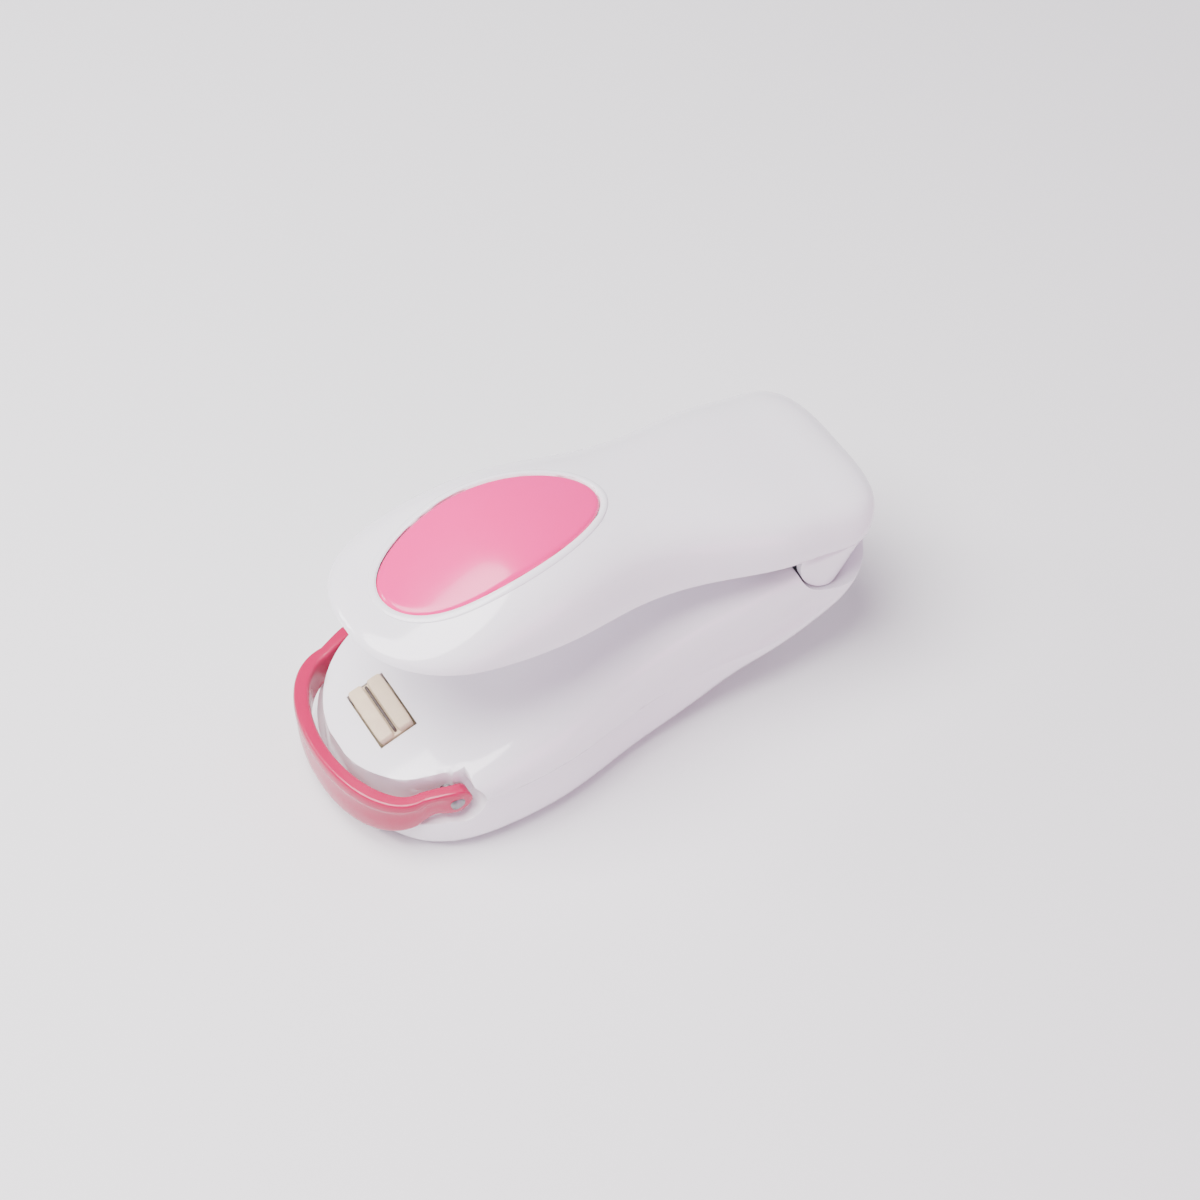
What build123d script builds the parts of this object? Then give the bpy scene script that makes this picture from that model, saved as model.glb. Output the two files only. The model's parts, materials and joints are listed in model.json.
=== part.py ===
"""Handheld bag heat sealer: a battery body with a hot wire at its nose, a sprung lever over it,
and a bail that swings up over the lever's nose to lock it shut.

Millimetres. +X runs from the nose to the tail, +Z is up, and the origin is the middle of the
flat underside. Stations along the body are distances from the front of the bail.
"""
from build123d import *
import os
from math import copysign, cos, pi, radians, sin, tan

os.makedirs("parts", exist_ok=True)

# ---------------------------------------------------------------- overall sizes
length = 100.5                # front of the bail to the back of the body's mould line
nose_width = 43.8             # across the body behind the bail
tail_width = 34.6             # across the body at the hinge
waist_depth = 2.1             # how far each side draws in at the waist
parting_height = 12.0         # plane where the base and the top shell meet
wall = 1.8                    # shell walls
gap = 0.35                    # between pieces that move past each other
fit = 0.1                     # radial clearance of pins, cells and sliding pieces

# ---------------------------------------------------------------- jaw and hinge
jaw_height = 17.4             # jaw plane above the front of the bail
jaw_slope = 7.3               # the jaw plane rises to the tail
jaw_gap = 0.8                 # closed lever rim above the body
open_angle = 15.2             # lever opening at rest
hinge_setback = 8.2           # hinge pin from the tail end
hinge_rise = 0.3              # hinge pin above the jaw plane
ear_radius = 10.0             # round ears that carry the lever on the pin
ear_lean = 1.3                # ears lean in this much at their lower edge
pin_diameter = 3.0
boss_wall = 2.2               # round any pin or screw hole

# ---------------------------------------------------------------- body nose
body_front = 5.0              # nose of the body behind the bail
body_setback = 0.3            # stern of the body from the tail end
nose_reach = 21.0             # length of the rounded nose, seen from above
tail_reach = 10.0             # length of the rounded tail, seen from above
nose_drop = 4.6               # the nose dome falls this far under the jaw plane
nose_drop_reach = 24.0
step_station = 19.0           # step where the bail arms' rebate ends
cheek_half_width = 17.2       # nose between the bail arms
cheek_reach = 17.0
ledge_front_height = 3.2      # ledge under the bail, at its front
ledge_slope = 17.0
stern_reach = 42.0            # the underside rises over this length to the stern
stern_rise = 15.0
sole_sink = 0.15              # shaved off the underside to leave it flat
waterline_rise = 10.0         # the widest level of the body rises this much at the stern

# ---------------------------------------------------------------- bail
bail_thickness = 2.5
bail_kink = 11.5              # station where the bow meets the arms
bail_kink_half_width = 15.7   # inside
bail_flare = 1.7              # arms spread this much from the kink to the pivot
bail_pivot_station = 16.4
bail_top = 13.6               # top edge of the bow
bail_arm_width = 5.2
bail_pin_diameter = 2.4
recess_radius = 4.3           # round recess in the body about each pivot

# ---------------------------------------------------------------- heater
heater_station = 12.9
heater_tilt = 18.2            # nose down
heater_width = 11.3
heater_depth = 6.3
heater_height = 7.5
heater_proud = 1.3            # above the nose dome
heater_travel = 1.2
heater_flange = 1.0           # keeps the block in its opening
slot_width = 0.9
wire_diameter = 0.5

# ---------------------------------------------------------------- lever
lever_front = 7.2
lever_setback = 0.4           # lever's tail from the tail end, closed
lever_nose_width = 34.8
lever_tail_width = 34.8
lever_waist_depth = 2.9
lever_nose_reach = 21.0
crown_tip = 2.2               # thickness of the crown at its tip
crown_height = 13.4           # crown above the jaw plane at its highest
crown_reach = 30.0            # the crown climbs to its highest over this length
crown_fall = 0.092            # then it falls this much per millimetre
liner_thickness = 1.6
pad_station = 31.3            # oval thumb pad
pad_half_length = 18.1
pad_half_width = 9.9
pad_depth = 0.9
pad_proud = 0.2               # pad above the lever
press_length = 8.0
press_width = 14.0

# ---------------------------------------------------------------- cells and door
cell_diameter = 14.3
cell_length = 50.0
cell_pitch = 14.6
cell_tilt = 4.0
cell_station = 48.5           # middle of the cells
cell_clearance = 0.4          # cells above the door
button_diameter = 5.5
button_height = 1.2
contact_thickness = 0.4
contact_travel = 2.7          # room for a contact spring at each end of the cells
rib = 1.2                     # partitions inside the shells
door_start = 23.6
door_end = 72.5
door_half_width = 14.2
door_thickness = 1.6

front_x = -length / 2
tail_x = length / 2
jaw_rise = tan(radians(jaw_slope))


def at(station):
    """X of a distance from the front of the bail."""
    return front_x + station


def jaw(x):
    """Height of the jaw plane."""
    return jaw_height + (x - front_x) * jaw_rise


def end_round(distance, reach, power):
    """0 at an end, 1 from reach onwards, along a superellipse."""
    inward = 1 - min(max(distance / reach, 0), 1)
    return (1 - inward**power) ** (1 / power)


def ease(ratio):
    """0 to 1 with level ends."""
    ratio = min(max(ratio, 0), 1)
    return ratio * ratio * (3 - 2 * ratio)


def waist(x, middle, reach):
    """1 at the waist, falling to 0 at reach either side of it."""
    return cos(pi / 2 * min(abs(x - middle) / reach, 1)) ** 2


def arch(half_width, height, power, steps=10):
    """Half a superellipse from +half_width over its top to -half_width."""
    points = []
    for step in range(steps + 1):
        turn = pi * step / steps
        side, up = cos(turn), sin(turn)
        across = copysign(abs(side) ** (2 / power), side)
        points.append((half_width * across, height * abs(up) ** (2 / power)))
    points[0] = (half_width, 0)
    points[-1] = (-half_width, 0)
    return points


def sections(start, end):
    """Stations of a hull's sections: close together where its ends round off."""
    nose = [start + step for step in (0.15, 1.0, 3.0, 6.5, 12, 20)]
    tail = [end - step for step in (21, 12.5, 6, 2, 0.15)]
    middle = [nose[-1] + (tail[0] - nose[-1]) * part / 4 for part in (1, 2, 3)]
    return nose + middle + tail


# ---------------------------------------------------------------- shape of the body
body_nose_x = at(body_front)
body_stern_x = tail_x - body_setback
waist_x = at(0.565 * length)
waist_reach = 0.25 * length
pin_x = tail_x - hinge_setback
pin_z = jaw(pin_x) + hinge_rise


def body_half_width(x, inset):
    along = ease((x - at(27)) / (tail_x - 18 - at(27)))
    full = (nose_width + (tail_width - nose_width) * along) / 2
    full -= waist_depth * waist(x, waist_x, waist_reach) + inset
    nose = end_round(x - body_nose_x - inset, nose_reach, 2.4)
    return full * nose * end_round(body_stern_x - inset - x, tail_reach, 3.0)


def body_top(x, inset=0):
    inward = 1 - min(max((x - body_nose_x) / nose_drop_reach, 0), 1)
    return jaw(x) - jaw_gap - nose_drop * inward**1.6 - inset


def body_bottom(x, inset=0):
    stern = max(0, 1 - (body_stern_x - x) / stern_reach)
    nose = max(0, 1 - (x - body_nose_x) / 8)
    return stern_rise * stern**1.6 + 2 * nose**2 + inset - sole_sink


def body_hull(inset):
    """Solid of the body's outer form, drawn in by inset."""
    with BuildPart() as hull:
        for x in sections(body_nose_x + inset, body_stern_x - inset):
            half = body_half_width(x, inset)
            middle = parting_height + waterline_rise * ease((x - pin_x + 12) / 20)
            top = max(body_top(x, inset) - middle, 0.3)
            bottom = max(middle - body_bottom(x, inset), 0.3)
            to_stern = ease((x - at(45)) / 35)
            with BuildSketch(Plane.YZ.offset(x)):
                with BuildLine():
                    upper = [(y, middle + z) for y, z in arch(half, top, 4 + 4 * to_stern)]
                    lower = [(y, middle - z) for y, z in arch(half, bottom, 8 - 5.6 * to_stern)]
                    Spline(*upper)
                    Spline(*lower)
                make_face()
        loft()
    return hull.part


def prism(outline, low, high):
    """Upright prism of a sketch, between two heights."""
    with BuildPart() as block:
        with BuildSketch(Plane.XY.offset(low)):
            add(outline)
        extrude(amount=high - low)
    return block.part


def cheek_outline(inset):
    """Nose between the bail arms, seen from above."""
    back = body_nose_x + cheek_reach
    nose = arch(cheek_half_width - inset, cheek_reach - inset, 2.1)
    with BuildSketch() as outline:
        with BuildLine():
            bow = Spline(*[(back - u, y) for y, u in nose], tangents=((-1, 0), (1, 0)))
            Polyline(bow @ 1, (back + 20, nose[-1][0]), (back + 20, nose[0][0]), bow @ 0)
        make_face()
    return outline.sketch


def bail_rebate(inset):
    """What the bail and its arms take away from the nose, with its walls drawn in by inset."""
    step_x = at(step_station) + inset
    drop = tan(radians(ledge_slope))
    ledge = ledge_front_height - inset / cos(radians(ledge_slope))
    with BuildPart() as rebate:
        with BuildSketch(Plane.XZ):
            with BuildLine():
                Polyline((front_x - 5, ledge - 5 * drop), (step_x, ledge + (step_x - front_x) * drop),
                         (step_x, 60), (front_x - 5, 60), close=True)
            make_face()
            with Locations((at(bail_pivot_station), parting_height)):
                Circle(recess_radius + inset)
        extrude(amount=40, both=True)
        add(prism(cheek_outline(inset), -10, 70), mode=Mode.SUBTRACT)
    return rebate.part


def hull_outline(half_width, start, end, inset):
    """A hull's plan outline, drawn in by inset, for cutting prisms to it."""
    stations = sections(start + inset, end - inset)
    edge = [(x, half_width(x, inset)) for x in stations]
    with BuildSketch() as outline:
        with BuildLine():
            near = Spline(*[(x, -y) for x, y in edge])
            away = Spline(*[(x, y) for x, y in edge])
            Line(near @ 0, away @ 0)
            Line(near @ 1, away @ 1)
        make_face()
    return outline.sketch


def cylinder_y(x, z, radius, start, end):
    """Cylinder about an axis along Y, from y = start to y = end."""
    with BuildPart() as rod:
        with BuildSketch(Plane.XZ.offset(-end)):
            with Locations((x, z)):
                Circle(radius)
        extrude(amount=end - start)
    return rod.part


def block_on(plane, width, depth, height):
    """Box standing on a plane."""
    with BuildPart() as block:
        with BuildSketch(plane):
            Rectangle(width, depth)
        extrude(amount=height)
    return block.part


def both_sides(piece):
    """A piece and its mirror image across the middle."""
    with BuildPart() as pair:
        add(piece)
        mirror(about=Plane.XZ)
    return pair.part


# ---------------------------------------------------------------- cells: where they lie
cell_radius = cell_diameter / 2
cell_z = door_thickness + cell_clearance + cell_radius + sin(radians(cell_tilt)) * cell_length / 2
cell_plane = Plane(origin=(at(cell_station), 0, cell_z), x_dir=(0, 1, 0),
                   z_dir=(cos(radians(cell_tilt)), 0, sin(radians(cell_tilt))))
bay_half = cell_length / 2 + contact_travel + contact_thickness

# ---------------------------------------------------------------- heater: where it lies
heater_x = at(heater_station)
tilt = radians(heater_tilt)
heater_z = body_top(heater_x) + heater_proud / cos(tilt)
heater_top = Plane(origin=(heater_x, 0, heater_z), x_dir=(cos(tilt), 0, sin(tilt)),
                   z_dir=(-sin(tilt), 0, cos(tilt)))
flange_depth = heater_proud + wall + 1.6

# ---------------------------------------------------------------- body shells
cradle_radius = ear_radius + gap
bail_pivot_x = at(bail_pivot_station)
screw_places = [(at(24.5), 17.5), (pin_x - 12.0, 9.0)]
screw_shank = 2.0
screw_head = 3.6
screw_head_height = 1.3
partition_width = 22.4
screw_length = 10.5


def screw_seat(x):
    """Height where a body screw's head bears."""
    return max(parting_height - 6.0, body_bottom(x) + 2.6)



body_form = body_hull(0) & block_on(Plane.XY, 2 * length, length, length)
body_form = body_form - cylinder_y(pin_x, pin_z, cradle_radius, -40, 40) - bail_rebate(0)
body_void = body_hull(wall) - cylinder_y(pin_x, pin_z, cradle_radius + wall, -40, 40)
body_shell = body_form - (body_void - bail_rebate(wall))
pin_seat_depth = 3.0
pin_seat_inner = cheek_half_width - wall - pin_seat_depth


def rod_on(plane, radius, height):
    """Cylinder standing on a plane."""
    with BuildPart() as rod:
        with BuildSketch(plane):
            Circle(radius)
        extrude(amount=height)
    return rod.part


def post(x, y, radius, low, high):
    """Upright cylinder between two heights."""
    with BuildPart() as column:
        with BuildSketch(Plane.XY.offset(low)):
            with Locations((x, y)):
                Circle(radius)
        extrude(amount=high - low)
    return column.part


def partition(offset_along, low, high):
    """Wall across the body, square to the cells, between two heights."""
    upright = block_on(cell_plane.offset(offset_along), partition_width, 60, rib)
    return upright & block_on(Plane((0, 0, low)), 2 * length, 2 * length, high - low)


screw_spots = [(x, side * y) for x, y in screw_places for side in (-1, 1)]
bail_pin_seats = both_sides(
    cylinder_y(bail_pivot_x, parting_height, bail_pin_diameter / 2, pin_seat_inner, 40))
bail_boss_radius = bail_pin_diameter / 2 + boss_wall
cheek_at_boss = cheek_half_width * end_round(bail_pivot_x - bail_boss_radius - body_nose_x,
                                             cheek_reach, 2.1)
bail_bosses = both_sides(
    cylinder_y(bail_pivot_x, parting_height, bail_boss_radius, pin_seat_inner,
               cheek_at_boss - 0.15))
bracket_depth = heater_height + 4.5
bracket = block_on(heater_top.offset(-bracket_depth - 12), 5.0, 11.0, 12) & block_on(
    Plane((heater_x, 0, 1.0)), 30, 30, 30)
door_length = door_end - door_start
door_middle = at((door_start + door_end) / 2)
door_reach = body_bottom(at(door_end)) + door_thickness

with BuildPart() as base_shell:
    add(body_shell)
    add(bail_bosses)
    add(partition(-bay_half - rib, 1.0, parting_height))
    add(partition(bay_half, body_bottom(at(cell_station) + bay_half) + 1.3, parting_height))
    for x, y in screw_spots:
        add(post(x, y, screw_head / 2 + 1.1, body_bottom(x) + 1.5, parting_height))
    add(bracket)
    split(bisect_by=Plane.XY.offset(parting_height), keep=Keep.BOTTOM)
    for x, y in screw_spots:
        add(post(x, y, screw_shank / 2 + fit, -10, 40), mode=Mode.SUBTRACT)
        add(post(x, y, screw_head / 2 + 0.2, -10, screw_seat(x)), mode=Mode.SUBTRACT)
    # door opening, with room over its front tab
    add(block_on(Plane((door_middle, 0, -5)), door_length + 2 * gap, 2 * (door_half_width + gap),
                 5 + door_reach + gap), mode=Mode.SUBTRACT)
    add(bail_pin_seats, mode=Mode.SUBTRACT)
base_shell.part.label = "base_shell"

# ---------------------------------------------------------------- top shell
opening = 2 * gap
sleeve_wall = 1.2
knuckle_radius = pin_diameter / 2 + boss_wall
knuckle_inner = 8.0
knuckle_width = 3.0
knuckle_x = pin_x - cradle_radius

with BuildPart() as top_shell:
    add(body_shell)
    add(bail_bosses)
    for x, y in screw_spots:
        top = body_top(x) - (2.4 if x < 0 else 1.0)
        add(post(x, y, screw_shank / 2 + 1.3, parting_height, top))
    add(partition(bay_half, parting_height, body_top(at(cell_station) + bay_half) - 1.0))
    split(bisect_by=Plane.XY.offset(parting_height), keep=Keep.TOP)
    # sleeve that guides the heater block
    sleeve_top = heater_proud + wall / 2
    add(block_on(heater_top.offset(-flange_depth), heater_depth + opening + 2 * sleeve_wall,
                 heater_width + opening + 2 * sleeve_wall, flange_depth - sleeve_top))
    add(block_on(heater_top.offset(-flange_depth), heater_depth + opening,
                 heater_width + opening, 10), mode=Mode.SUBTRACT)
    # knuckles that carry the hinge pin
    for side in (-1, 1):
        y_low = min(side * knuckle_inner, side * (knuckle_inner + knuckle_width))
        with BuildSketch(Plane.XZ.offset(-y_low - knuckle_width)):
            with Locations((pin_x, pin_z)):
                Circle(knuckle_radius)
            with Locations(((pin_x + knuckle_x) / 2 - wall / 2, pin_z - knuckle_radius / 2)):
                Rectangle(pin_x - knuckle_x + wall, knuckle_radius)
        extrude(amount=knuckle_width)
    for x, y in screw_spots:
        add(post(x, y, screw_shank / 2, 0, screw_seat(x) + screw_length + 0.5), mode=Mode.SUBTRACT)
    add(cylinder_y(pin_x, pin_z, pin_diameter / 2 + fit, -40, 40), mode=Mode.SUBTRACT)
    add(bail_pin_seats, mode=Mode.SUBTRACT)
top_shell.part.label = "top_shell"

# ---------------------------------------------------------------- battery door
tab_reach = 1.9               # tab over the base's floor in front of the door
tab_width = 3.6
tab_height = 0.8
tab_floor = wall + 0.2
barrel_radius = (door_thickness - sole_sink) / 2
barrel_x = at(door_start) + barrel_radius
with BuildPart() as battery_door:
    add(body_hull(0) - body_hull(door_thickness))
    add(block_on(Plane((door_middle + barrel_radius / 2, 0, 0)), door_length - barrel_radius,
                 2 * door_half_width, door_reach), mode=Mode.INTERSECT)
    # round front edge, about which the door swings
    add(cylinder_y(barrel_x, barrel_radius, barrel_radius, -door_half_width, door_half_width))
    add(block_on(Plane((at(door_start) + 0.1, 0, tab_floor)), 2 * tab_reach, tab_width,
                 tab_height))
    add(block_on(Plane((at(door_start) + 1.4, 0, barrel_radius)), 1.2, tab_width,
                 tab_floor - barrel_radius + tab_height / 2))
battery_door.part.label = "battery_door"

# ---------------------------------------------------------------- shape of the lever
lever_nose_x = at(lever_front)
lever_tail_x = tail_x - lever_setback


def lever_half_width(x, inset=0):
    full = (lever_nose_width + (lever_tail_width - lever_nose_width)
            * ease((x - at(30)) / (tail_x - 16 - at(30)))) / 2
    full -= lever_waist_depth * waist(x, waist_x + 1, waist_reach) + inset
    nose = end_round(x - lever_nose_x - inset, lever_nose_reach, 2.3)
    return full * nose * end_round(lever_tail_x - inset - x, tail_reach, 3.0)


def crown(x):
    """Height of the lever's crown above the jaw plane."""
    from_tip = max(x - lever_nose_x, 0)
    climb = sin(pi / 2 * min(from_tip / crown_reach, 1)) ** 2
    fall = crown_fall * max(from_tip - crown_reach, 0)
    edge = end_round(from_tip, 5, 2)
    height = crown_tip * edge + (crown_height - crown_tip) * climb - fall
    return height * end_round(lever_tail_x - x, tail_reach / 2, 2.4)


def lever_hull(inset):
    """Solid of the lever's crown down to the jaw plane, drawn in by inset."""
    with BuildPart() as hull:
        for x in sections(lever_nose_x + inset, lever_tail_x - inset):
            base = jaw(x) - (1.0 if inset else 0.0)
            top = max(jaw(x) + crown(x - inset / 3) - inset - base, 0.3)
            power = 2.5 + 1.3 * ease((x - at(30)) / 50)
            with BuildSketch(Plane.YZ.offset(x)):
                with BuildLine():
                    points = [(y, base + z) for y, z in arch(lever_half_width(x, inset), top, power)]
                    bow = Spline(*points)
                    Line(bow @ 1, bow @ 0)
                make_face()
        loft()
    return hull.part


def ear_disc(radius, inset):
    """Round lower part of the lever's tail, concentric with the hinge pin, within its plan outline."""
    with BuildPart() as disc:
        # the ears lean in towards their lower edge, as the body's sides do
        for height, lean in ((pin_z - radius - 1, ear_lean), (jaw(pin_x) + 2, 0)):
            with BuildSketch(Plane.XY.offset(height)):
                add(hull_outline(lever_half_width, lever_nose_x, lever_tail_x, inset + lean))
        loft()
        add(cylinder_y(pin_x, pin_z, radius, -30, 30), mode=Mode.INTERSECT)
    return disc.part


def oval(grow):
    """Outline of the thumb pad, wider towards the nose."""
    steps = 24
    points = []
    for step in range(steps):
        turn = 2 * pi * step / steps
        along = (pad_half_length + grow) * cos(turn)
        across = (pad_half_width + grow) * sin(turn) * (1 - 0.15 * cos(turn))
        points.append((at(pad_station) + along, across))
    with BuildSketch() as outline:
        with BuildLine():
            Spline(*points, periodic=True)
        make_face()
    return outline.sketch


# ---------------------------------------------------------------- lever shell
boss_gap = 0.3
pin_boss_inner = knuckle_inner + knuckle_width + boss_gap
lever_screw_stations = [24.0, 66.0]
lever_screw_head = 3.4
countersink = 0.9
liner_lift = 0.2              # liner above the jaw plane
liner_end = 77.0
liner_top = liner_lift + liner_thickness
lever_screw_length = 5.0
rest = Axis((pin_x, 0, pin_z), (0, 1, 0))

oval_well = prism(oval(0), 0, 70) - lever_hull(pad_depth)
lever_form = lever_hull(0) + ear_disc(ear_radius, 0)
with BuildPart() as liner_room:
    with BuildSketch(Plane.XZ):
        with BuildLine():
            Polyline((front_x, jaw(front_x) - 3), (tail_x, jaw(tail_x) - 3),
                     (tail_x, jaw(tail_x) + liner_top + fit),
                     (front_x, jaw(front_x) + liner_top + fit), close=True)
        make_face()
    extrude(amount=40, both=True)
pad_seat = prism(oval(wall), 0, 70) - lever_hull(wall + pad_depth) - liner_room.part
lever_void = lever_hull(wall) - pad_seat
lever_void += ear_disc(ear_radius - wall, wall)
with BuildPart() as ear_mouth:
    # the drum between the ears is open towards the body's knuckles
    with BuildSketch(Plane.XZ):
        with Locations((pin_x - ear_radius * 0.35 - 20, pin_z - 20)):
            Rectangle(40, 39)
    extrude(amount=40, both=True)
    with BuildSketch():
        add(hull_outline(lever_half_width, lever_nose_x, lever_tail_x, wall))
    extrude(amount=60, mode=Mode.INTERSECT)


def jaw_frame(station, lift):
    """Plane parallel to the jaw plane, lift above it, centred at a station."""
    x = at(station)
    return Plane(origin=(x, 0, jaw(x)), x_dir=(1, 0, jaw_rise), z_dir=(-jaw_rise, 0, 1)).offset(lift)


pin_bosses = both_sides(cylinder_y(pin_x, pin_z, pin_diameter / 2 + boss_wall, pin_boss_inner,
                                   lever_tail_width / 2 - wall + 0.3))
pin_half_length = pin_boss_inner + 3.0
with BuildPart() as lever_shell:
    add(lever_form - lever_void)
    add(ear_mouth.part, mode=Mode.SUBTRACT)
    add(pin_bosses)
    for station in lever_screw_stations:
        crown_room = crown(at(station)) - liner_top - wall
        add(rod_on(jaw_frame(station, liner_top), screw_shank / 2 + 1.4, crown_room))
        add(rod_on(jaw_frame(station, 0), screw_shank / 2, liner_lift + lever_screw_length + 0.3),
            mode=Mode.SUBTRACT)
    add(oval_well, mode=Mode.SUBTRACT)
    add(cylinder_y(pin_x, pin_z, pin_diameter / 2, -pin_half_length, pin_half_length),
        mode=Mode.SUBTRACT)
lever_shell = lever_shell.part.rotate(rest, open_angle)
lever_shell.label = "lever_shell"

# ---------------------------------------------------------------- thumb pad
pad_edge = 0.15               # groove round the pad
with BuildPart() as thumb_pad:
    add(prism(oval(-pad_edge), 0, 70))
    add(lever_hull(-pad_proud), mode=Mode.INTERSECT)
    add(lever_hull(pad_depth - fit), mode=Mode.SUBTRACT)
thumb_pad = thumb_pad.part.rotate(rest, open_angle)
thumb_pad.label = "thumb_pad"

# ---------------------------------------------------------------- lever liner and its screws
with BuildPart() as lever_liner:
    with BuildSketch(Plane.XZ):
        with BuildLine():
            start_x, end_x = lever_nose_x, at(liner_end)
            Polyline((start_x, jaw(start_x) + liner_lift), (end_x, jaw(end_x) + liner_lift),
                     (end_x, jaw(end_x) + liner_top), (start_x, jaw(start_x) + liner_top),
                     close=True)
        make_face()
    extrude(amount=40, both=True)
    add(lever_hull(wall + fit), mode=Mode.INTERSECT)
    for station in lever_screw_stations:
        add(rod_on(jaw_frame(station, 0), screw_shank / 2 + fit, 3), mode=Mode.SUBTRACT)
        with BuildSketch(jaw_frame(station, liner_lift)):
            Circle(lever_screw_head / 2)
        with BuildSketch(jaw_frame(station, liner_lift + countersink)):
            Circle(screw_shank / 2 + fit)
        loft(mode=Mode.SUBTRACT)
lever_liner = lever_liner.part.rotate(rest, open_angle)
lever_liner.label = "lever_liner"

with BuildPart() as lever_screws:
    for station in lever_screw_stations:
        add(rod_on(jaw_frame(station, liner_lift + 0.05), screw_shank / 2, lever_screw_length))
        with BuildSketch(jaw_frame(station, liner_lift + 0.05)):
            Circle(lever_screw_head / 2 - 0.05)
        with BuildSketch(jaw_frame(station, liner_lift + countersink)):
            Circle(screw_shank / 2)
        loft()
        add(block_on(jaw_frame(station, liner_lift), 2.2, 0.5, 0.5), mode=Mode.SUBTRACT)
        add(block_on(jaw_frame(station, liner_lift), 0.5, 2.2, 0.5), mode=Mode.SUBTRACT)
lever_screws = lever_screws.part.rotate(rest, open_angle)
lever_screws.label = "lever_screws"

# ---------------------------------------------------------------- silicone press pad
with BuildPart() as press_pad:
    add(block_on(heater_top.offset(0.05), press_length, press_width, 8))
    with BuildSketch(Plane.XZ):
        with BuildLine():
            Polyline((front_x, jaw(front_x) + liner_lift), (at(40), jaw(at(40)) + liner_lift),
                     (at(40), 0), (front_x, 0), close=True)
        make_face()
    extrude(amount=40, both=True, mode=Mode.INTERSECT)
    add(lever_hull(wall + 1.0), mode=Mode.INTERSECT)
press_pad = press_pad.part.rotate(rest, open_angle)
press_pad.label = "press_pad"

# ---------------------------------------------------------------- hinge pin and opening spring
hinge_pin = cylinder_y(pin_x, pin_z, pin_diameter / 2, 0.1 - pin_half_length, pin_half_length - 0.1)
hinge_pin.label = "hinge_pin"


def coil(plane, radius, wire, pitch, height, lefthand=False):
    """Round-wire helical spring standing on a plane."""
    with BuildPart() as spring:
        with BuildLine():
            turns = Helix(pitch=pitch, height=height, radius=radius, lefthand=lefthand)
        with BuildSketch(Plane(origin=turns @ 0, z_dir=turns % 0)):
            Circle(wire / 2)
        sweep(path=turns)
    return plane * spring.part


def wire_along(points, radius):
    """Round wire along straight runs with round bends."""
    with BuildPart() as run:
        with BuildLine():
            path = FilletPolyline(*points, radius=2 * radius)
        with BuildSketch(Plane(origin=path @ 0, z_dir=path % 0)):
            Circle(radius)
        sweep(path=path)
    return run.part


spring_wire = 0.8
spring_radius = 2.8
spring_pitch = 1.1
spring_turns = 6 + 140 / 360  # from the foot of the coil round to its upper leg
upper_leg_angle = radians(40)
spring_side = spring_turns * spring_pitch / 2
spring_foot = (pin_x, -spring_side, pin_z - spring_radius)
spring_head = (pin_x + spring_radius * sin(upper_leg_angle), spring_side,
               pin_z + spring_radius * cos(upper_leg_angle))
with BuildPart() as lever_spring:
    add(coil(Plane(origin=(pin_x, -spring_side, pin_z), x_dir=(0, 0, -1), z_dir=(0, 1, 0)),
             spring_radius, spring_wire, spring_pitch, 2 * spring_side, lefthand=True))
    add(rod_on(Plane(origin=spring_foot, z_dir=(-1, 0, 0)), spring_wire / 2, 9.7))
    add(rod_on(Plane(origin=spring_head, z_dir=(-cos(upper_leg_angle), 0, sin(upper_leg_angle))),
               spring_wire / 2, 6.2))
lever_spring.part.label = "lever_spring"

# ---------------------------------------------------------------- lock bail and its pins
kink_x = at(bail_kink)
arm_end_x = at(bail_pivot_station + 2.7)
bow_depth = bail_kink
inner_bow_depth = bail_kink - bail_thickness - 0.2
outer_bow = [(kink_x - u, y) for y, u in arch(bail_kink_half_width + bail_thickness, bow_depth, 2.1)]
inner_bow = [(kink_x - u, y) for y, u in arch(bail_kink_half_width, inner_bow_depth, 1.9)]
arm_inner = bail_kink_half_width + bail_flare
arm_outer = arm_inner + bail_thickness
bail_lift = 0.4               # over the ledge
arm_half = bail_arm_width / 2


def under_bail(x):
    """Height of the bow's lower edge."""
    return ledge_front_height + (x - front_x) * tan(radians(ledge_slope)) + bail_lift


with BuildPart() as lock_bail:
    with BuildSketch():
        with BuildLine():
            outside = Spline(*outer_bow)
            inside = Spline(*inner_bow)
            for side, place in ((1, 0), (-1, 1)):
                Polyline(outside @ place, (bail_pivot_x, side * arm_outer),
                         (arm_end_x, side * arm_outer), (arm_end_x, side * arm_inner),
                         (bail_pivot_x, side * arm_inner), inside @ place)
        make_face()
    extrude(amount=40)
    with BuildSketch(Plane.XZ) as bail_side:
        with BuildLine():
            Polyline((front_x - 1, under_bail(front_x - 1)),
                     (at(bail_kink + 1), under_bail(at(bail_kink + 1))),
                     (bail_pivot_x, parting_height - arm_half),
                     (bail_pivot_x, parting_height + arm_half),
                     (kink_x, bail_top), (front_x - 1, bail_top), close=True)
        make_face()
        with Locations((bail_pivot_x, parting_height)):
            Circle(arm_half)
    extrude(amount=40, both=True, mode=Mode.INTERSECT)
    add(cylinder_y(bail_pivot_x, parting_height, bail_pin_diameter / 2 + fit, -40, 40),
        mode=Mode.SUBTRACT)
lock_bail.part.label = "lock_bail"

with BuildPart() as bail_pins:
    add(both_sides(cylinder_y(bail_pivot_x, parting_height, bail_pin_diameter / 2,
                              pin_seat_inner + 0.1, arm_outer)))
bail_pins.part.label = "bail_pins"


# ---------------------------------------------------------------- heater block and wire
def heater_frame(across, depth):
    """Plane square to the heater's travel, at a depth under its top."""
    level = heater_top.offset(-depth)
    return Plane(origin=level.from_local_coords((0, across, 0)), x_dir=level.x_dir,
                 z_dir=level.z_dir)


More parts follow.
